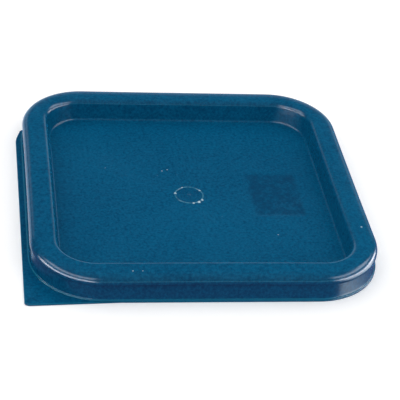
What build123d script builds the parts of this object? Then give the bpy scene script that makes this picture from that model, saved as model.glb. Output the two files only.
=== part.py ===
"""Square press-on lid for a food storage container, moulded in one piece.

The lid is centred on the origin and its skirt's bottom edge lies in z = 0, with +Z up. Its one lift tab
points to the -X -Y corner. All sizes are in millimetres.
"""

from build123d import *
import os

# Outline of the lid, seen from above. Every outer wall turns its corners about the same four points.
bead_half = 146.0        # centre to the outermost line of the rim
turn_centre = 88.0       # centre to each corner's turning point, along X and along Y
wall_foot_half = 146.4   # the skirt's wall where it would reach the bottom
wall_flare = 8.0         # degrees that the wall leans in on its way up to the bead
lip_flare = 1.0          # the lip at the skirt's bottom stands this far outside the bead

# Heights and roundings of the outside
height = 25.0
bead_height = 8.5        # from the rim's top down to the groove under the bead
bead_round = 7.5         # the rim's broad outer edge
bead_under_round = 0.7
lip_height = 2.6
lip_round = 0.5
foot_round = 0.4         # hollow corner where the skirt's wall meets the lip
rest_round = 0.4         # edges of the bottom that the lid rests on

# The well: a drafted wall that drops from the rim's inner edge to the recessed floor
well_depth = 20.0
well_top_half = 124.0
well_top_radius = 31.0
well_top_round = 5.0
well_floor_half = 121.0
well_floor_radius = 32.5
well_floor_round = 2.0

# Thickness of the walls
skirt_inner_half = 142.6 # the skirt's inner face is upright, so the skirt thickens towards its foot
roof_thickness = 2.2
tub_thickness = 2.0      # the well's wall and its floor
roof_round = 2.0         # hollow corners of the channel's roof

# The grip bead inside the skirt, which holds under the container's edge
grip_bottom = 6.0
grip_height = 2.4
grip_reach = 1.0
grip_round = 0.9

# The sealing rib under the rim, which presses on the container's edge
seal_half = 135.0
seal_width = 1.4
seal_depth = 1.3
seal_round = 0.5

# The lift tab: a thin ledge along the left side that ends in a square corner
tab_thickness = 1.6
tab_left = -151.5
tab_front = -150.5
tab_front_end = -75.0    # where the tab's front edge runs back into the lip
tab_rear_end = 106.0     # where the tab's left edge runs back into the lip
tab_rear_slope = 16.0    # length over which the rear end grows to its full width
tab_corner_radius = 4.0

# Details of the floor: the raised ring around the moulding gate, and the blank marking panel
gate_x = -2.0
gate_y = -2.0
gate_radius = 12.4
gate_ring_width = 1.2
gate_ring_height = 0.5
gate_ring_round = 0.2
panel_x = 76.0
panel_width = 45.0
panel_length = 64.0
panel_depth = 0.3
panel_corner_radius = 2.0

# Sizes that follow from the ones above
lip_half = bead_half + lip_flare
roof_level = height - roof_thickness
floor_level = height - well_depth
under_floor_level = floor_level - tub_thickness


def outer_square(half, mode=Mode.ADD):
    """A rounded square that turns its corners about the lid's four turning points."""
    RectangleRounded(2 * half, 2 * half, half - turn_centre, mode=mode)


def well_square(half, radius):
    """A rounded square of the well, which has corner radii of its own."""
    RectangleRounded(2 * half, 2 * half, radius)


def flat_faces(level):
    """The lid's flat faces at one height, the smallest first."""
    tolerance = 0.01
    faces = lid.faces().filter_by(Plane.XY)
    return faces.filter_by_position(Axis.Z, level - tolerance, level + tolerance).sort_by(SortBy.AREA)


with BuildPart() as lid:
    # The skirt, for now a solid block that leans in on its way up into the bead
    with BuildSketch(Plane.XY):
        outer_square(wall_foot_half)
    extrude(amount=height - bead_round, taper=wall_flare)

    # The lip around the skirt's bottom
    with BuildSketch(Plane.XY):
        outer_square(lip_half)
    extrude(amount=lip_height)
    fillet(flat_faces(lip_height)[0].outer_wire().edges(), radius=lip_round)
    fillet(flat_faces(lip_height)[0].inner_wires()[0].edges(), radius=foot_round)

    # The bead around the rim
    with BuildSketch(Plane.XY.offset(height - bead_height)):
        outer_square(bead_half)
    extrude(amount=bead_height)
    fillet(flat_faces(height - bead_height)[0].outer_wire().edges(), radius=bead_under_round)
    fillet(flat_faces(height)[0].edges(), radius=bead_round)

    # The lift tab leaves the lip along the left side and around the front-left corner
    with BuildSketch(Plane.XY):
        with BuildLine():
            Polyline(
                (-turn_centre, tab_rear_end),
                (-lip_half, tab_rear_end),
                (tab_left, tab_rear_end - tab_rear_slope),
                (tab_left, tab_front),
                (tab_front_end, -lip_half),
                (tab_front_end, -turn_centre),
                (-turn_centre, -turn_centre),
                close=True,
            )
        make_face()
    extrude(amount=tab_thickness)
    tab_corner = lid.edges().filter_by(Axis.Z).sort_by_distance(Vertex(tab_left, tab_front, 0))[0]
    fillet(tab_corner, radius=tab_corner_radius)

    # The hollow under the lid, up to the roof of the channel that takes the container's edge
    with BuildSketch(Plane.XY):
        outer_square(skirt_inner_half)
    extrude(amount=roof_level, mode=Mode.SUBTRACT)

    # The grip bead
    with BuildSketch(Plane.XY.offset(grip_bottom)):
        outer_square(skirt_inner_half)
        outer_square(skirt_inner_half - grip_reach, mode=Mode.SUBTRACT)
    extrude(amount=grip_height)
    for level in (grip_bottom, grip_bottom + grip_height):
        fillet(flat_faces(level)[0].inner_wires()[0].edges(), radius=grip_round)

    # The sealing rib
    with BuildSketch(Plane.XY.offset(roof_level)):
        outer_square(seal_half + seal_width / 2)
        outer_square(seal_half - seal_width / 2, mode=Mode.SUBTRACT)
    extrude(amount=-seal_depth)
    fillet(flat_faces(roof_level - seal_depth)[0].edges(), radius=seal_round)

    # The tub, which drops into the container's mouth
    with BuildSketch(Plane.XY.offset(under_floor_level)):
        well_square(well_floor_half + tub_thickness, well_floor_radius + tub_thickness)
    with BuildSketch(Plane.XY.offset(height)):
        well_square(well_top_half + tub_thickness, well_top_radius + tub_thickness)
    loft()
    fillet(flat_faces(under_floor_level)[0].edges(), radius=well_floor_round + tub_thickness)

    # The well inside the tub
    with BuildSketch(Plane.XY.offset(floor_level)):
        well_square(well_floor_half, well_floor_radius)
    with BuildSketch(Plane.XY.offset(height)):
        well_square(well_top_half, well_top_radius)
    loft(mode=Mode.SUBTRACT)
    fillet(flat_faces(floor_level)[0].edges(), radius=well_floor_round)
    fillet(flat_faces(height)[0].inner_wires()[0].edges(), radius=well_top_round)

    # Soft corners in the channel's roof, which the rib splits in two, and soft edges on the bottom
    fillet(flat_faces(roof_level)[-1].outer_wire().edges(), radius=roof_round)
    fillet(flat_faces(roof_level)[0].inner_wires()[0].edges(), radius=roof_round)
    fillet(flat_faces(0)[0].edges(), radius=rest_round)

    # The ring around the gate
    with BuildSketch(Plane.XY.offset(floor_level)):
        with Locations((gate_x, gate_y)):
            Circle(gate_radius + gate_ring_width / 2)
            Circle(gate_radius - gate_ring_width / 2, mode=Mode.SUBTRACT)
    extrude(amount=gate_ring_height)
    fillet(flat_faces(floor_level + gate_ring_height)[0].edges(), radius=gate_ring_round)

    # The marking panel, sunk into the floor
    with BuildSketch(Plane.XY.offset(floor_level)):
        with Locations((panel_x, 0)):
            RectangleRounded(panel_width, panel_length, panel_corner_radius)
    extrude(amount=-panel_depth, mode=Mode.SUBTRACT)

lid.part.label = "lid"
os.makedirs("parts", exist_ok=True)
export_step(lid.part, "parts/lid.step")
print("lid:", len(lid.solids()), "solid,", round(lid.part.volume / 1000, 1), "cm3")
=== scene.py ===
# %% [markdown]
# # A square press-on lid of blue polyethylene
# The real object is a lid for a square food storage container, injection moulded in one piece. A wide flat rim
# runs round a recessed floor, a skirt with a lip hangs from the rim, and a thin lift tab leaves the lip at one
# corner. This lesson builds the lid as one clean mesh of quads, gives it a moulded satin finish made only of
# nodes, and lights it like a small product on a studio table.

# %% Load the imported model, which gives the frame and the size
import math

import bpy
import numpy as np
from mathutils import Matrix, Vector


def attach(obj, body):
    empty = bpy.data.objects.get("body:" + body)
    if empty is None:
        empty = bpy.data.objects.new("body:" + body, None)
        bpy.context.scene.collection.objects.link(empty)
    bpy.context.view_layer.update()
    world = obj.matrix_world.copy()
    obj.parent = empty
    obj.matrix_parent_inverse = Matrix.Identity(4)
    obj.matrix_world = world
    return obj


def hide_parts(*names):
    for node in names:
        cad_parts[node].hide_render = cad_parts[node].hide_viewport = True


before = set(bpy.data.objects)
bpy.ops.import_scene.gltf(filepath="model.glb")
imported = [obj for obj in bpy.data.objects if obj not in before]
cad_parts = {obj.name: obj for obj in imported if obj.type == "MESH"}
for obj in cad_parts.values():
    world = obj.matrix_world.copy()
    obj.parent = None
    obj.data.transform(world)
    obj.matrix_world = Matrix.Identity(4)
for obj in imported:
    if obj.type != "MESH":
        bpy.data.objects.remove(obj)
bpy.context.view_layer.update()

# %% [markdown]
# ## Sizes
# Every size is in millimetres, because that is how a mould maker reads a lid, and the mesh is scaled to metres
# at the very end. The origin is the lid's centre, z = 0 is the edge that it rests on, and the tab points to
# -X -Y. The outer walls all turn their corners about the same four points, so one offset describes them all.
# The well is drafted: it gets wider towards the top, so that the moulding leaves the tool.

# %% Sizes of the outside
height = 25.0
turn_centre = 88.0
bead_half = 146.0
wall_foot_half, wall_flare = 146.4, math.radians(8)
lip_half = 147.0
bead_bottom = 16.5
bead_round = 7.2
crown_angle, crown_drop = 7.0, 0.45
lip_height = 2.6
tab_thickness = 1.6
tab_left, tab_front = -151.5, -150.5
tab_front_end, tab_rear_end, tab_rear_slope = -75.0, 106.0, 16.0

# %% Sizes of the well, the floor and the channel under the rim
floor_level = 5.0
well_floor_half, well_top_half = 121.0, 124.0
well_floor_centre, well_top_centre = 88.5, 93.0
under_level = 3.0
skirt_inner_half = 142.6
roof_level = 22.8
seal_half, seal_width, seal_depth = 135.0, 1.4, 1.3
gate = np.array([-2.0, -2.0])
gate_radius, ring_height = 12.4, 0.5
panel_centre = np.array([76.0, 0.0])
panel_half = np.array([22.5, 32.0])
panel_depth, panel_radius, panel_edge_width = 0.22, 2.0, 3.2
well_draft = math.atan2(well_top_half - well_floor_half, height - floor_level)
print("rim width:", bead_half - well_top_half, "mm, well depth:", height - floor_level, "mm")
print("draft of the well's wall:", round(math.degrees(well_draft), 1), "degrees")

# %% [markdown]
# ## Stations round the lid
# The lid could be made with extrusions and bevels, but then the bevels meet badly in the corners. Here one
# profile is swept round a rounded square instead. A station is a place on that square: a point of the square
# through the turning centres, and the direction outwards. Any loop is then half minus radius times the point,
# plus radius times the direction. The stations on the straight sides are also the lines of the floor's grid,
# so the floor joins the sweep point by point. They lie close together at the panel's edges and at the gate.


# %% Lines of the floor's grid along X and along Y
def spread(start, end, step):
    """Evenly spaced numbers from start up to, but without, end, about one step apart."""
    count = max(1, round((end - start) / step))
    return [start + (end - start) * i / count for i in range(count)]


block_half = 18.0
block_cells = 24
cell_size = 4.5
edge_steps = (-1.8, -0.9, 0.0, 0.9, 1.8)


def grid_lines(block_middle, edges):
    """Grid lines between two turning centres, close together over the gate's block and at the edges."""
    close = [list(edge + np.array(edge_steps)) for edge in edges]
    fine = [block_middle - block_half + 2 * block_half * i / block_cells for i in range(block_cells + 1)]
    spans = sorted(close + [fine])
    lines = [-well_floor_centre]
    for span in spans:
        lines += spread(lines[-1], span[0], cell_size)[1:] + span
    return np.array(lines + spread(lines[-1], well_floor_centre, cell_size)[1:] + [well_floor_centre])


x_lines = grid_lines(gate[0], [panel_centre[0] - panel_half[0]])
y_lines = grid_lines(gate[1], [-panel_half[1], panel_half[1]])
print("grid lines:", len(x_lines), "along X and", len(y_lines), "along Y")

# %% The stations, counter-clockwise from the front side's left end
corner_segments = 22
# The left side comes last. The corner after it holds the tab, whose point needs stations close together.
tab_side = 3
tab_corner_degrees = (41.6, 42.2, 42.7, 43.1, 43.5, 43.9, 44.3, 44.7, 45.1, 45.5, 45.9, 46.4, 47.0, 47.7)
tab_corner_gap = 0.06
sides = (((0, -1), x_lines), ((1, 0), y_lines), ((0, 1), -x_lines[::-1]), ((-1, 0), -y_lines[::-1]))
corner_points, outward = [], []
for side, (normal, lines) in enumerate(sides):
    normal = np.array(normal, float)
    along = np.array([-normal[1], normal[0]])
    for place in lines / well_floor_centre:
        corner_points.append(normal + along * place)
        outward.append(normal)
    angles = np.linspace(0, math.pi / 2, corner_segments + 1)[1:-1]
    if side == tab_side:
        kept = angles[abs(angles - math.pi / 4) > tab_corner_gap]
        angles = np.unique(np.concatenate([kept, np.radians(tab_corner_degrees)]))
    for angle in angles:
        corner_points.append(normal + along)
        outward.append(normal * math.cos(angle) + along * math.sin(angle))
corner_points, outward = np.array(corner_points), np.array(outward)
stations = len(corner_points)
print("stations round the lid:", stations)

# %% [markdown]
# ## The lift tab's reach
# The tab is a flat ledge that grows out of the lip: it runs along the left side, ends in a square corner, and
# comes back along the front in a shallow slant. Its outline could be drawn as a polygon, but what the sweep
# needs is one number for each station: how far the ledge reaches beyond the lip. That is where a ray from the
# lip meets the nearest of three straight edges. A soft minimum rounds the square corner.


# %% How far the tab reaches at each station
least_speed, far_away = 0.05, 1000.0
square_corner_blend, rear_end_blend = 6.6, 1.0


def soft_minimum(a, b, blend):
    """The smaller of two distances, rounded over where they are within blend of each other."""
    overlap = np.clip(blend - abs(a - b), 0, None) / blend
    return np.minimum(a, b) - overlap**2 * blend / 4


def ray_to_edge(points, directions, edge_start, edge_end):
    """Distance along each direction to the line through two points, and far away where it turns from it."""
    edge = np.array(edge_end, float) - np.array(edge_start, float)
    across = np.array([edge[1], -edge[0]]) / np.linalg.norm(edge)
    speed = directions @ across
    gap = (np.array(edge_start, float) - points) @ across
    return np.where(speed > least_speed, gap / np.maximum(speed, least_speed), far_away)


lip_line = turn_centre * corner_points + (lip_half - turn_centre) * outward
left_edge = ray_to_edge(lip_line, outward, (tab_left, 0), (tab_left, -1))
front_edge = ray_to_edge(lip_line, outward, (tab_left, tab_front), (tab_front_end, -lip_half))
rear_corner = (tab_left, tab_rear_end - tab_rear_slope)
rear_edge = ray_to_edge(lip_line, outward, (-lip_half, tab_rear_end), rear_corner)
on_tab_side = (lip_line[:, 0] < tab_front_end) & (lip_line[:, 1] < tab_rear_end)
reach = soft_minimum(soft_minimum(left_edge, front_edge, square_corner_blend), rear_edge, rear_end_blend)
reach = np.where(on_tab_side, np.clip(reach, 0, None), 0.0)
print("tab reach: up to", round(float(reach.max()), 1), "mm beyond the lip")
print("stations on the tab:", int((reach > 0).sum()))


# %% [markdown]
# ## The profile
# A profile point says how far from the centre a loop lies, which corner centre it turns about, how high it is,
# and which share of the tab's reach it takes. The list runs like a finger over the real lid: from the floor up
# the well's wall, over the rim, down the bead and the skirt, out over the tab, back under the skirt and up
# inside it, over the channel's roof with its sealing rib, and down the tub's outside to the underside.
# Every corner is a true arc of several segments, because light on plastic shows each edge's rounding.


# %% Helpers that collect the profile
profile = []


def point(half, level, centre=turn_centre, share=0.0):
    """Adds one loop to the profile."""
    profile.append((half, level, centre, share))


def arc(half, level, radius, start, end, segments, centre=turn_centre, share=0.0):
    """Adds an arc about a point of the section. Angles are in degrees, from outwards towards up."""
    for angle in np.radians(np.linspace(start, end, segments + 1)):
        place = centre(level + radius * math.sin(angle)) if callable(centre) else centre
        point(half + radius * math.cos(angle), level + radius * math.sin(angle), place, share)


def well_centre(level):
    """The corner centre of the well's wall at a height."""
    share = min(1.0, max(0.0, (level - floor_level) / (height - floor_level)))
    return well_floor_centre + share * (well_top_centre - well_floor_centre)


def well_half(level):
    """Half the well's width at a height."""
    share = (level - floor_level) / (height - floor_level)
    return well_floor_half + share * (well_top_half - well_floor_half)


# %% From the floor's middle square, up the well's wall and over the rim
draft_degrees = math.degrees(well_draft)
panel_right = panel_centre[0] + panel_half[0] - well_floor_centre
loop_gap = 3.0
floor_offsets = spread(0.0, panel_right + edge_steps[0], loop_gap)
floor_offsets += [panel_right + step for step in edge_steps]
fillet, rounding = 2.0, 5.0
fillet_half = well_half(floor_level + fillet) - fillet / math.cos(well_draft)
floor_offsets += spread(floor_offsets[-1], fillet_half - well_floor_centre, loop_gap)[1:]
for offset in floor_offsets:
    point(well_floor_centre + offset, floor_level, well_floor_centre)
arc(fillet_half, floor_level + fillet, fillet, -90, -draft_degrees, 8, well_centre)
for level in np.linspace(8.0, 19.5, 7):
    point(well_half(level), level, well_centre(level))
rounding_half = well_half(height - rounding) + rounding / math.cos(well_draft)
arc(rounding_half, height - rounding, rounding, 180 - draft_degrees, 90, 16, well_centre)
shoulder_level = height - crown_drop
shoulder_half = bead_half - bead_round + bead_round * math.sin(math.radians(crown_angle))
crown_start = shoulder_half - 2 * crown_drop / math.tan(math.radians(crown_angle))
for share in np.linspace(0, 1, 15)[1:-1]:
    half = rounding_half + share * (shoulder_half - rounding_half)
    crowned = max(0.0, (half - crown_start) / (shoulder_half - crown_start))
    rim_centre = well_top_centre + share * (turn_centre - well_top_centre)
    point(half, height - crown_drop * crowned**2, rim_centre)
print("profile points up to the rim:", len(profile))

# %% Down the bead, the groove, the flared skirt and the lip
under_round, groove_round, foot_round, lip_round = 0.7, 0.3, 0.4, 0.5


def wall_half(level):
    """Half the skirt's outer width at a height: it leans in on its way up to the bead."""
    return wall_foot_half - level * math.tan(wall_flare)


bead_level = shoulder_level - bead_round * math.cos(math.radians(crown_angle))
arc(bead_half - bead_round, bead_level, bead_round, 90 - crown_angle, 0, 18)
arc(bead_half - under_round, bead_bottom + under_round, under_round, 0, -90, 6)
groove_level = bead_bottom - groove_round
arc(wall_half(groove_level) + groove_round, groove_level, groove_round, 90, 180, 4)
for level in (14.5, 12.5, 10.5, 8.5, 6.5, 4.5):
    point(wall_half(level), level)
foot_level = lip_height + foot_round
arc(wall_half(foot_level) + foot_round, foot_level, foot_round, 180 + math.degrees(wall_flare), 270, 5)
arc(lip_half - lip_round, lip_height - lip_round, lip_round, 90, 0, 6)
print("profile points down to the lip:", len(profile))

# %% Out over the tab and back under the skirt
tab_edge, rest_round, rest_width = 0.35, 0.4, 2.2
tab_shares = (0.0, 0.12, 0.3, 0.5, 0.7, 0.88)
for share in tab_shares:
    point(lip_half, tab_thickness, share=share)
arc(lip_half - tab_edge, tab_thickness - tab_edge, tab_edge, 90, 0, 4, share=1.0)
arc(lip_half - rest_round, rest_round, rest_round, 0, -90, 4, share=1.0)
for share in reversed(tab_shares):
    point(lip_half - rest_round, 0.0, share=share)
point(skirt_inner_half + rest_width, 0.0)
arc(skirt_inner_half + rest_round, rest_round, rest_round, 270, 180, 4)

# %% Up inside the skirt, past the grip bead, and over the channel's roof with its sealing rib
grip_bottom, grip_top, grip_reach, grip_round = 6.0, 8.4, 1.0, 0.9
crease_round, crease_inset, crease_gap = 0.3, 0.2, 0.4
grip_half = skirt_inner_half - grip_reach + grip_round
point(skirt_inner_half, grip_bottom / 2)
arc(skirt_inner_half + crease_inset, grip_bottom - crease_gap, crease_round, 180, 120, 2)
arc(grip_half, grip_bottom + grip_round, grip_round, -90, -180, 6)
arc(grip_half, grip_top - grip_round, grip_round, 180, 90, 6)
arc(skirt_inner_half + crease_inset, grip_top + crease_gap, crease_round, -120, -180, 2)
for level in (12.0, 16.0, 20.0):
    point(skirt_inner_half, level)
roof_round, roof_outer_half, roof_inner_half, roof_inner_centre = 2.0, 138.5, 131.5, 91.0
arc(skirt_inner_half - roof_round, roof_level - roof_round, roof_round, 0, 90, 8)
point(roof_outer_half, roof_level)
rib_side, rib_tip, rib_round = seal_width / 2, roof_level - seal_depth, 0.5
point(seal_half + rib_side, roof_level)
arc(seal_half + rib_side - rib_round, rib_tip + rib_round, rib_round, 0, -90, 5)
arc(seal_half - rib_side + rib_round, rib_tip + rib_round, rib_round, -90, -180, 5)
point(seal_half - rib_side, roof_level)
point(roof_inner_half, roof_level, roof_inner_centre)

# %% Down the tub's outside, and in over the underside of the floor
tub_thickness = floor_level - under_level
tub_draft = math.atan2(well_top_half - well_floor_half, height - under_level)


def tub_half(level):
    """Half the tub's outer width at a height."""
    return well_floor_half + tub_thickness + (level - under_level) * math.tan(tub_draft)


tub_round, tub_fillet = 4.0, 1.0
tub_degrees = math.degrees(tub_draft)
tub_fillet_level = roof_level - tub_fillet
tub_fillet_half = tub_half(tub_fillet_level) + tub_fillet / math.cos(tub_draft)
arc(tub_fillet_half, tub_fillet_level, tub_fillet, 90, 180 - tub_degrees, 6, well_centre)
for level in (17.5, 12.5):
    point(tub_half(level), level, well_centre(level))
tub_round_half = tub_half(under_level + tub_round) - tub_round / math.cos(tub_draft)
arc(tub_round_half, under_level + tub_round, tub_round, -tub_degrees, -90, 10, well_centre)
for offset in (25.0, 18.0, 10.0, 0.0):
    point(well_floor_centre + offset, under_level, well_floor_centre)
print("profile points in all:", len(profile))


# %% [markdown]
# ## Small departures from the ideal shape
# A moulded lid of this size is never quite flat: the floor sags a little, the rim has long shallow waves, and
# the straight walls pull inwards between the corners as the plastic cools. These are fractions of a
# millimetre, but they bend the highlights, which is what makes plastic look like plastic. A sum of a few long
# waves does it. The waves only ever take away, so the lid never grows beyond its real size.


# %% The shape errors of a real moulding, in millimetres
sag_depth, sag_half, sag_fade = 0.35, 122, 30.0
pull_depth, pull_half, pull_reach = 0.4, 100, 140
wave_height = 0.05


def warp(points):
    """Moves points of the lid by the sag, waves and pull that cooling leaves in a moulding."""
    x, y, z = points.T
    moved = points.copy()
    from_centre = np.maximum(abs(x), abs(y))
    inside = np.clip((bead_half - from_centre) / sag_fade, 0, 1)
    sag = sag_depth * np.clip(1 - (x / sag_half) ** 2, 0, 1) * np.clip(1 - (y / sag_half) ** 2, 0, 1)
    waves = 2 + np.sin(x / 31 + 0.7) * np.cos(y / 43) + np.sin(x / 67 - y / 38 + 1.9)
    high = np.clip((z - under_level) / 6.0, 0, 1)
    moved[:, 2] -= inside * sag + wave_height * waves * high
    pull_x = pull_depth * np.clip(1 - (y / pull_half) ** 2, 0, 1) * np.clip(abs(x) / pull_reach, 0, 1) ** 4
    pull_y = pull_depth * np.clip(1 - (x / pull_half) ** 2, 0, 1) * np.clip(abs(y) / pull_reach, 0, 1) ** 4
    moved[:, 0] -= np.sign(x) * pull_x * np.clip(z / 4, 0, 1)
    moved[:, 1] -= np.sign(y) * pull_y * np.clip(z / 4, 0, 1)
    return moved


# %% [markdown]
# ## The floor's details
# The blank marking panel is sunk a fifth of a millimetre into the floor, and its edge is a soft step. The
# distance to a rounded rectangle gives that step at any point, so the grid simply follows it. At the gate,
# where the plastic entered the mould, a low ring stands on the floor round a torn-off nub.


# %% Depth of the marking panel at any point
def rounded_box_distance(points, centre, half, radius):
    """Distance from points to the outline of a rounded rectangle, less than zero inside it."""
    past = abs(points - centre) - half + radius
    return np.linalg.norm(np.maximum(past, 0), axis=1) + np.minimum(past.max(axis=1), 0) - radius


def panel_drop(points):
    """How far the floor is sunk at each point, in millimetres."""
    distance = rounded_box_distance(points, panel_centre, panel_half, panel_radius)
    share = np.clip(0.5 - distance / panel_edge_width, 0, 1)
    return panel_depth * share * share * (3 - 2 * share)


# %% Section of the gate's ring and nub, as radius and height above the floor
gate_section = [(15.6, 0.0), (13.7, 0.0), (13.3, 0.03), (13.08, 0.12), (12.96, 0.28), (12.84, 0.41)]
gate_section += [(12.66, 0.48), (gate_radius, ring_height), (12.14, 0.48), (11.96, 0.41), (11.84, 0.28)]
gate_section += [(11.72, 0.12), (11.5, 0.03), (11.1, -0.02), (9.0, -0.05), (6.0, -0.07), (3.6, -0.08)]
gate_section += [(2.3, -0.08), (1.8, -0.02), (1.45, 0.1), (1.15, 0.2), (0.7, 0.24)]
print("gate ring:", 2 * gate_radius, "mm across,", ring_height, "mm high")

# %% [markdown]
# ## Build the mesh
# The sweep gives one closed skin except for two square windows: one in the floor and one under it. Each is
# filled with the grid whose lines are the stations. In the floor's grid the block round the gate is left out
# and filled with loops that pass from a square to a circle. Points that fall on the same spot, as where the
# tab's reach is nil, are merged at the end, and faces without area go with them.

# %% Points and faces are collected here
points, faces = [], []


def add_points(rows):
    """Adds points and returns their numbers."""
    first = len(points)
    points.extend(map(tuple, rows))
    return np.arange(first, first + len(rows))


def bridge(first, second):
    """Quads between two closed loops with the same number of points."""
    for i in range(len(first)):
        j = (i + 1) % len(first)
        faces.append((first[i], second[i], second[j], first[j]))


# %% The sweep
loops = []
for half, level, centre, share in profile:
    flat = centre * corner_points + (half - centre) * outward + (share * reach)[:, None] * outward
    drop = panel_drop(flat) if level == floor_level else np.zeros(stations)
    loops.append(add_points(np.column_stack([flat, level - drop])))
for first, second in zip(loops[:-1], loops[1:]):
    bridge(first, second)
print("sweep:", len(loops), "loops,", len(points), "points")


# %% The grids that close the floor and its underside
def add_grid(level, skip=None, flip=False):
    """A grid on the station lines. The cells whose centre is inside the skipped box are left out."""
    across, up = np.meshgrid(x_lines, y_lines)
    flat = np.column_stack([across.ravel(), up.ravel()])
    drop = np.zeros(len(flat)) if flip else panel_drop(flat)
    numbers = add_points(np.column_stack([flat, level - drop])).reshape(across.shape)
    for j in range(len(y_lines) - 1):
        for i in range(len(x_lines) - 1):
            middle = np.array([x_lines[i] + x_lines[i + 1], y_lines[j] + y_lines[j + 1]]) / 2
            if skip is not None and max(abs(middle - skip)) < block_half:
                continue
            cell = (numbers[j, i], numbers[j, i + 1], numbers[j + 1, i + 1], numbers[j + 1, i])
            faces.append(cell[::-1] if flip else cell)
    return numbers


floor_numbers = add_grid(floor_level, skip=gate)
add_grid(under_level, flip=True)
print("with both grids:", len(points), "points")

# %% The gate's block, from a square to a circle and in to the nub
first_x = int(np.argmin(abs(x_lines - (gate[0] - block_half))))
first_y = int(np.argmin(abs(y_lines - (gate[1] - block_half))))
last_x, last_y = first_x + block_cells, first_y + block_cells
square = [floor_numbers[first_y, i] for i in range(first_x, last_x)]
square += [floor_numbers[j, last_x] for j in range(first_y, last_y)]
square += [floor_numbers[last_y, i] for i in range(last_x, first_x, -1)]
square += [floor_numbers[j, first_x] for j in range(last_y, first_y, -1)]
square_flat = np.array([points[i][:2] for i in square]) - gate
directions = square_flat / np.linalg.norm(square_flat, axis=1)[:, None]
previous = np.array(square)
for radius, rise in gate_section:
    loop = add_points(np.column_stack([gate + directions * radius, np.full(len(square), floor_level + rise)]))
    bridge(loop, previous)
    previous = loop
nub_height = 0.2
nub = add_points([(gate[0], gate[1], floor_level + nub_height)])[0]
for i in range(len(previous)):
    faces.append((nub, previous[i], previous[(i + 1) % len(previous)]))

# %% Warp, scale to metres, and make the mesh
shaped = warp(np.array(points)) / 1000.0
lid_mesh = bpy.data.meshes.new("lid_shell")
lid_mesh.from_pydata(shaped.tolist(), [], [tuple(int(i) for i in face) for face in faces])
lid = bpy.data.objects.new("lid_shell", lid_mesh)
bpy.context.scene.collection.objects.link(lid)

# %% Merge the points that coincide, and face every polygon outwards
import bmesh

shell = bmesh.new()
shell.from_mesh(lid_mesh)
same_spot = 1e-6
bmesh.ops.remove_doubles(shell, verts=shell.verts, dist=same_spot)
bmesh.ops.dissolve_degenerate(shell, edges=shell.edges, dist=same_spot)
bmesh.ops.recalc_face_normals(shell, faces=shell.faces)
open_edges = sum(1 for edge in shell.edges if not edge.is_manifold)
volume = shell.calc_volume()
shell.to_mesh(lid_mesh)
shell.free()
lid_mesh.shade_smooth()
lid_mesh.set_sharp_from_angle(angle=math.radians(42))
print("mesh:", len(lid_mesh.polygons), "faces, open edges:", open_edges)
print("volume:", round(volume * 1e6, 1), "cm3")

# %% [markdown]
# ## Shader maths as Python
# A finish is easier to read as arithmetic than as a web of nodes. This class wraps one socket of a node, so
# that adding, multiplying or subtracting two of them adds the Math node that does it. One method makes any
# other node: its settings go in first, because they decide which sockets it has, then its values and links.


# %% A socket that understands arithmetic
class Socket:
    """One output of a shader node. Arithmetic on it adds Math nodes to the same tree."""

    def __init__(self, tree, output=None):
        self.tree = tree
        self.output = output

    def node(self, kind, settings=None, inputs=None, output=0):
        """Makes a node of any kind and returns one of its outputs."""
        made = self.tree.nodes.new(kind)
        for name, value in (settings or {}).items():
            setattr(made, name, value)
        for name, value in (inputs or {}).items():
            if isinstance(value, Socket):
                self.tree.links.new(value.output, made.inputs[name])
            else:
                made.inputs[name].default_value = value
        return Socket(self.tree, made.outputs[output]) if len(made.outputs) else made

    def maths(self, operation, first, second=None, clamp=False):
        """One Math node."""
        inputs = {0: first} if second is None else {0: first, 1: second}
        return self.node("ShaderNodeMath", {"operation": operation, "use_clamp": clamp}, inputs)

    def __add__(self, other):
        return self.maths("ADD", self, other)

    def __radd__(self, other):
        return self.maths("ADD", other, self)

    def __sub__(self, other):
        return self.maths("SUBTRACT", self, other)

    def __rsub__(self, other):
        return self.maths("SUBTRACT", other, self)

    def __mul__(self, other):
        return self.maths("MULTIPLY", self, other)

    def __rmul__(self, other):
        return self.maths("MULTIPLY", other, self)

    def __truediv__(self, other):
        return self.maths("DIVIDE", self, other)

    def __abs__(self):
        return self.maths("ABSOLUTE", self)

    def clamp(self):
        return self.maths("ADD", self, 0.0, clamp=True)

    def step(self, start, end):
        """A soft step: 0 up to start, 1 from end on."""
        inputs = {0: self, 1: start, 2: end, 3: 0.0, 4: 1.0}
        return self.node("ShaderNodeMapRange", {"interpolation_type": "SMOOTHSTEP"}, inputs)

    def mix(self, factor, first, second):
        """A colour between two colours: all of the first at 0, all of the second at 1."""
        return self.node("ShaderNodeMix", {"data_type": "RGBA"}, {0: factor, 6: first, 7: second}, output=2)


# %% [markdown]
# ## The satin polyethylene
# The lid is one piece of one plastic, coloured through. What varies over a real one is small: the pigment is a
# touch uneven where the melt flowed out from the gate, the mould was polished on the rim and the corners and
# left finer or duller elsewhere, the marking panel was etched and looks darker and drier, and use leaves a
# few fine scuffs. Some lighter marks are painted light instead: highlights on the gate's ring and the tab's
# rim, and a lighter lip. An image could hold all that, but nodes that read the place on the object stay sharp
# at any distance. All lengths in the nodes are in metres.

# %% Start the finish, with places on the object as its only measure
plastic = bpy.data.materials.new("satin_blue_polyethylene")
plastic.use_nodes = True
plastic.node_tree.nodes.clear()
start = Socket(plastic.node_tree)
place = start.node("ShaderNodeTexCoord", output="Object")
along_x = start.node("ShaderNodeSeparateXYZ", inputs={0: place}, output=0)
along_y = start.node("ShaderNodeSeparateXYZ", inputs={0: place}, output=1)
along_z = start.node("ShaderNodeSeparateXYZ", inputs={0: place}, output=2)


def noise(scale, detail=2.0, roughness=0.5, vector=None):
    """Smooth noise about 0.5, with the given number of cells to a metre."""
    inputs = {"Vector": vector or place, "Scale": scale, "Detail": detail, "Roughness": roughness}
    return start.node("ShaderNodeTexNoise", {}, inputs)


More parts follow.
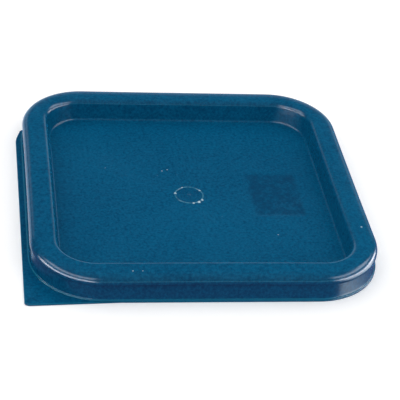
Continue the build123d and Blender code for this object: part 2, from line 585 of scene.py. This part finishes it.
# %% Masks: the floor, the marking panel and the gate
def mm(value):
    """Millimetres as the metres that the nodes use."""
    return value / 1000.0


on_floor = 1 - along_z.step(mm(5.6), mm(6.4))
past_x = abs(along_x - mm(panel_centre[0])) - mm(panel_half[0] - panel_radius)
past_y = abs(along_y - mm(panel_centre[1])) - mm(panel_half[1] - panel_radius)
corner_x = start.maths("MAXIMUM", past_x, 0.0)
corner_y = start.maths("MAXIMUM", past_y, 0.0)
corner_distance = start.maths("SQRT", corner_x * corner_x + corner_y * corner_y)
side_distance = start.maths("MINIMUM", start.maths("MAXIMUM", past_x, past_y), 0.0)
panel_distance = corner_distance + side_distance - mm(panel_radius)
ragged = (noise(110.0, 4.0, 0.75) - 0.5) * mm(7.0)
panel = (1 - (panel_distance + ragged).step(mm(-3.0), mm(1.6))) * on_floor
from_gate_x = along_x - mm(gate[0])
from_gate_y = along_y - mm(gate[1])
from_gate = start.maths("SQRT", from_gate_x * from_gate_x + from_gate_y * from_gate_y)
in_ring = (1 - from_gate.step(mm(11.2), mm(12.2))) * on_floor
ring_top = from_gate.step(mm(11.5), mm(12.1)) * (1 - from_gate.step(mm(12.7), mm(13.4))) * on_floor

# %% Colour: pigment that is a touch uneven, with flow lines out from the gate
deep_blue = (0.0008, 0.056, 0.134, 1)
light_blue = (0.0014, 0.106, 0.222, 1)
panel_blue = (0.0024, 0.050, 0.120, 1)
clouds = noise(9.0, 3.0)
flow_bearing = start.maths("ARCTAN2", from_gate_y, from_gate_x)
flow_vector = start.node("ShaderNodeCombineXYZ", inputs={0: flow_bearing * 2.2, 1: from_gate * 9.0, 2: 0.0})
flow = noise(4.0, 3.0, 0.6, flow_vector)
specks = noise(420.0, 3.0, 0.7)
mottle = noise(200.0, 2.0, 0.6)
pigment = (clouds * 0.20 + flow * 0.12 + specks * 0.85 + mottle * 0.22).step(0.50, 0.89)
colour = start.mix(pigment, deep_blue, light_blue)
blotches = noise(150.0, 4.0, 0.75).step(0.34, 0.66)
colour = start.mix(panel * (0.30 + blotches * 0.70), colour, panel_blue)
colour = start.mix(in_ring * 0.25, colour, panel_blue)
print("pigment, panel and gate masks are ready")

# %% Fine scuffs: short scratches in a few directions, and rubbed spots
def scratches(turn, scale, rarity):
    """Thin straight marks in one direction, broken up so that few are left."""
    stretch = (scale * 14, scale * 0.8, scale * 0.8)
    turning = {"Vector": place, "Rotation": (0, 0, turn), "Scale": stretch}
    turned = start.node("ShaderNodeMapping", {}, turning)
    lines = noise(1.0, 2.0, 0.5, turned)
    ridge = 1 - (abs(lines - 0.5) * 46.0).clamp()
    patches = noise(scale * 0.55, 2.0).step(rarity, rarity + 0.07)
    return ridge * patches


scuffs = scratches(0.5, 26.0, 0.62) + scratches(2.1, 31.0, 0.64) + scratches(1.25, 22.0, 0.63)
rubbed = noise(120.0, 3.0, 0.7).step(0.72, 0.8)
wear = (scuffs * 0.5 + rubbed * 0.35).clamp()
scuffed_blue = (0.03, 0.17, 0.30, 1)
colour = start.mix(wear * 0.16, colour, scuffed_blue)

# %% Nicks and painted highlights: pale marks a millimetre or two across. The six on the gate's ring are painted highlights, and those on the floor and the rim are nicks
# The first six places lie on the gate's ring. They are painted highlights where its slopes catch the light. The
# rest are nicks.
nick_and_highlight_places = [(-14.0, 0.5, 1.3), (8.6, 5.2, 1.1), (5.6, -12.6, 1.5), (9.0, -9.4, 1.2), (0.5, -14.4, 1.0)]
nick_and_highlight_places += [(-7.0, 9.6, 0.8), (-22.0, 36.0, 0.7), (-17.0, 38.0, 0.7), (-9.0, 30.0, 0.4)]
nick_and_highlight_places += [(-27.0, 29.0, 0.4), (68.0, -61.0, 0.5), (-73.0, 40.0, 0.4), (-66.0, -137.0, 0.7)]
nick_and_highlight_places += [(-58.0, -137.0, 0.6), (135.0, -77.0, 0.9), (23.0, -34.0, 0.4)]
nicks_and_ring_highlights = 0.0
for mark_x, mark_y, mark_size in nick_and_highlight_places:
    level = mm(height if max(abs(mark_x), abs(mark_y)) > well_top_half else floor_level)
    spot = (mm(mark_x), mm(mark_y), level)
    away = start.node("ShaderNodeVectorMath", {"operation": "DISTANCE"}, {0: place, 1: spot}, output="Value")
    nicks_and_ring_highlights = nicks_and_ring_highlights + (1 - away.step(mm(mark_size * 0.4), mm(mark_size * 1.3)))
nicks_and_ring_highlights = nicks_and_ring_highlights * noise(900.0, 2.0).step(0.25, 0.5)
# Pale patches along the gate's ring, varying by bearing round the gate. They are partly stress-whitened plastic
# and partly painted highlights on the ring's slopes.
ring_bearing = start.node("ShaderNodeCombineXYZ", inputs={0: flow_bearing * 1.6, 1: 0.0, 2: 0.0})
ring_whitening_and_highlight = ring_top * noise(1.3, 3.0, 0.6, ring_bearing).step(0.30, 0.62)
ring_blue, bare_plastic_and_highlight = (0.05, 0.26, 0.38, 1), (0.42, 0.62, 0.70, 1)
colour = start.mix(ring_whitening_and_highlight * 0.7, colour, ring_blue)
colour = start.mix(nicks_and_ring_highlights.clamp(), colour, bare_plastic_and_highlight)
print("nicks:", len(nick_and_highlight_places))

# %% Edges: the bead carries a slightly lighter, polished line of wear. The lip is made lighter teal as painted light, and the tab's rim carries a painted highlight
edge_distance = start.maths("MAXIMUM", abs(along_x), abs(along_y))
upper_edge = edge_distance.step(mm(139.5), mm(144.0)) * along_z.step(mm(17.0), mm(21.0))
upper_edge = upper_edge * (1 - along_z.step(mm(23.4), mm(24.9)))
# The lip's face is painted lighter, as if more light fell on it: painted light.
lit_lip_edge = along_z.step(mm(1.62), mm(1.8)) * (1 - along_z.step(mm(2.7), mm(3.1)))
# A thin pale line along the tab's edge: a painted highlight on its rounded rim.
tab_slant = (-lip_half - tab_front) / (tab_front_end - tab_left)
from_tab_left = along_x - mm(tab_left)
from_tab_front = along_y - mm(tab_front) - from_tab_left * tab_slant
tab_rim_highlight = 1 - start.maths("MINIMUM", from_tab_front, from_tab_left).step(mm(0.3), mm(1.2))
tab_rim_highlight = tab_rim_highlight * (1 - along_z.step(mm(1.7), mm(1.8)))
edges = (upper_edge * 0.6 + lit_lip_edge).clamp()
worn_and_lit_blue, painted_light_teal = (0.012, 0.13, 0.24, 1), (0.006, 0.17, 0.28, 1)
# The bead's lighter wear and the lip's painted light share one colour. The lip and the tab's rim then take a
# lighter teal, which is painted light.
colour = start.mix(edges * noise(70.0, 3.0).step(0.4, 0.75) * 0.22, colour, worn_and_lit_blue)
colour = start.mix((lit_lip_edge * 0.6 + tab_rim_highlight * 0.7).clamp(), colour, painted_light_teal)

# %% Roughness: satin, a little drier where it is worn, a little smoother on the rounded edges
roughness = 0.205 + (noise(34.0, 4.0, 0.6) - 0.5) * 0.06 + (specks - 0.5) * 0.04
roughness = roughness - edges * 0.02 + wear * 0.04 - ring_top * 0.04

# %% Grain: a fine spark-etched texture, coarser inside the panel, with ripples of sink under it
grain = noise(2600.0, 2.0, 0.6) * (1 - panel * 0.4) + noise(900.0, 3.0, 0.6) * (0.35 + panel * 0.9)
ripple = noise(55.0, 2.0)
fine_bump = start.node("ShaderNodeBump", {}, {"Strength": 0.16, "Distance": mm(0.12), "Height": grain})
sink = {"Strength": 0.35, "Distance": mm(0.5), "Height": ripple + wear * -0.1, "Normal": fine_bump}
normal = start.node("ShaderNodeBump", {}, sink)

# %% The shader itself
surface = start.node(
    "ShaderNodeBsdfPrincipled",
    {},
    {"Base Color": colour, "Roughness": roughness, "Normal": normal, "IOR": 1.5, "Specular IOR Level": 0.5},
)
start.node("ShaderNodeOutputMaterial", {}, {"Surface": surface})
lid_mesh.materials.append(plastic)
print("finish nodes:", len(plastic.node_tree.nodes))

# %% [markdown]
# ## Where the lid belongs
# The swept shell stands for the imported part, which stays hidden and keeps its place for collisions. It rides
# on the one body, because nothing on the lid moves.

# %% Hand the shell to the frame
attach(lid, "root")
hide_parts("lid")

# %% [markdown]
# ## Camera
# The camera looks down on the lid from the front, a little from its left, through a long lens, and it is
# tilted a few degrees about its own line of sight. Its place and its three angles are written out, because
# they say more than a matrix does.

# %% The camera
camera_place = Vector((-0.2047, -1.0661, 0.7428))
azimuth, elevation, roll = math.radians(11.32), math.radians(34.41), math.radians(6.75)
level_sight = Vector((math.sin(azimuth), math.cos(azimuth), 0))
sight = level_sight * math.cos(elevation) - Vector((0, 0, math.sin(elevation)))
level_right = sight.cross(Vector((0, 0, 1))).normalized()
level_up = level_right.cross(sight)
right = level_right * math.cos(roll) + level_up * math.sin(roll)
up = level_up * math.cos(roll) - level_right * math.sin(roll)
camera_data = bpy.data.cameras.new("studio_camera")
camera_data.sensor_width = 36.0
camera_data.lens = 3.71 * camera_data.sensor_width
camera_data.clip_end = 60.0
camera = bpy.data.objects.new("studio_camera", camera_data)
bpy.context.scene.collection.objects.link(camera)
turn = Matrix((right, up, -sight)).transposed()
camera.matrix_world = Matrix.Translation(camera_place) @ turn.to_4x4()
bpy.context.scene.camera = camera
print("camera lens:", round(camera_data.lens, 1), "mm")

# %% [markdown]
# ## Table and light
# The lid lies on a plain pale table. One broad soft lamp overhead fills everything evenly, and it is kept out
# of the reflections, so that the flat satin faces stay deep in colour. The softboxes that draw the bright lines
# on the corners could be lamps too, but then the walls also mirror them into the floor and leave grey patches.
# So they are patches of the room instead, which only the first glossy reflection sees. The two bright ones
# stand at the front left and at the right, each with a gap at middle height, because a low viewpoint would see
# that part mirrored in the flat faces. Dimmer cards stand for the studio and for the table's glow.

# %% The table
table_mesh = bpy.data.meshes.new("table")
table_half = 30.0
table_corners = [(x * table_half, y * table_half, 0) for x, y in ((-1, -1), (1, -1), (1, 1), (-1, 1))]
table_mesh.from_pydata(table_corners, [], [(0, 1, 2, 3)])
table = bpy.data.objects.new("table", table_mesh)
bpy.context.scene.collection.objects.link(table)
paper = bpy.data.materials.new("pale_table")
paper.use_nodes = True
paper.node_tree.nodes.clear()
sheet = Socket(paper.node_tree)
fibres = sheet.node("ShaderNodeTexNoise", {}, {"Scale": 60.0, "Detail": 3.0})
white = sheet.mix(fibres, (0.97, 0.97, 0.975, 1), (0.92, 0.92, 0.92, 1))
dull = {"Base Color": white, "Roughness": 0.8, "Specular IOR Level": 0.2}
glow = {"Emission Color": white, "Emission Strength": 0.16}
paper_surface = sheet.node("ShaderNodeBsdfPrincipled", {}, {**dull, **glow})
sheet.node("ShaderNodeOutputMaterial", {}, {"Surface": paper_surface})
table_mesh.materials.append(paper)
table.visible_glossy = False
table.visible_diffuse = False


# %% The broad overhead light
overhead_data = bpy.data.lights.new("overhead", "SUN")
overhead_data.energy = 3.3
overhead_data.angle = math.radians(160)
overhead = bpy.data.objects.new("overhead", overhead_data)
overhead.rotation_euler = (math.radians(-4), math.radians(2), 0)
overhead.visible_glossy = False
bpy.context.scene.collection.objects.link(overhead)

# %% The room: pale where the camera sees it, and dim, bluish and darker above for everything it lights
world = bpy.data.worlds.new("room")
bpy.context.scene.world = world
world.use_nodes = True
world.node_tree.nodes.clear()
air = Socket(world.node_tree)
direction = air.node("ShaderNodeTexCoord", output="Generated")
rise = air.node("ShaderNodeSeparateXYZ", inputs={0: direction}, output=2)
level_share = air.maths("SQRT", 1.0 - rise * rise)
air_light = air.mix(rise.step(-0.35, 0.25), (0.13, 0.15, 0.36, 1), (0.001, 0.003, 0.004, 1))


# %% A card: a patch of the room between two bearings and two elevations
def degree_step(socket, angle, soft, measure):
    """A soft step at an angle in degrees, on a socket that holds the angle's sine or cosine."""
    ends = sorted((measure(math.radians(angle - soft)), measure(math.radians(angle + soft))))
    return socket.step(ends[0], ends[1])


def card(behind, bearing, width, low, high, radiance, soft=3.0):
    """Adds a card to a colour. Bearing 0 is the front, 90 is the right, and the horizon has elevation 0."""
    heading = (math.sin(math.radians(bearing)), -math.cos(math.radians(bearing)), 0.0)
    pair = {0: direction, 1: heading}
    ahead = air.node("ShaderNodeVectorMath", {"operation": "DOT_PRODUCT"}, pair, output="Value")
    across = degree_step(ahead / level_share, width / 2, soft, math.cos)
    tall = degree_step(rise, low, soft / 2, math.sin) * (1 - degree_step(rise, high, soft / 2, math.sin))
    return air.mix(across * tall, behind, (*radiance, 1))


# %% Dim cards behind, the table's glow behind and at the right, a teal strip in front, and the two softboxes
rear_wall, rear_strip, rear_table = (0.65, 0.64, 0.72), (0.18, 0.75, 0.95), (0.75, 0.95, 1.2)
right_table, front_strip = (5.5, 6.0, 6.2), (0.7, 2.0, 2.2)
bright_part, dimmer_top = (13.0, 12.6, 13.0), (4.5, 4.4, 4.5)
shine = card(air_light, 178, 70, 5, 20, rear_wall, soft=6)
shine = card(shine, 168, 70, -1, 6, rear_strip, soft=3)
shine = card(shine, 188, 70, -80, -1, rear_table, soft=5)
shine = card(shine, 80, 62, -24, -8, right_table, soft=6)
shine = card(shine, 12, 46, 1, 9, front_strip, soft=6)
for bearing, width in ((-57, 94), (79, 84)):
    shine = card(shine, bearing, width, -5, 8, bright_part)
    shine = card(shine, bearing, width, 27, 46, dimmer_top, soft=5)
print("room and cards:", len(world.node_tree.nodes), "nodes")

# %% Only the first glossy reflection sees the cards, and the camera sees a pale room
glossy = air.node("ShaderNodeLightPath", output="Is Glossy Ray")
first = 1 - air.node("ShaderNodeLightPath", output="Glossy Depth").step(1.4, 1.6)
seen = air.node("ShaderNodeLightPath", output="Is Camera Ray")
shown = air.mix(glossy * first, air_light, shine)
shown = air.mix(seen, shown, (0.97, 0.97, 0.975, 1))
background = air.node("ShaderNodeBackground", inputs={"Color": shown, "Strength": 1.0})
air.node("ShaderNodeOutputWorld", inputs={"Surface": background})
bpy.context.scene.view_settings.view_transform = "Standard"
bpy.context.scene.view_settings.look = "None"
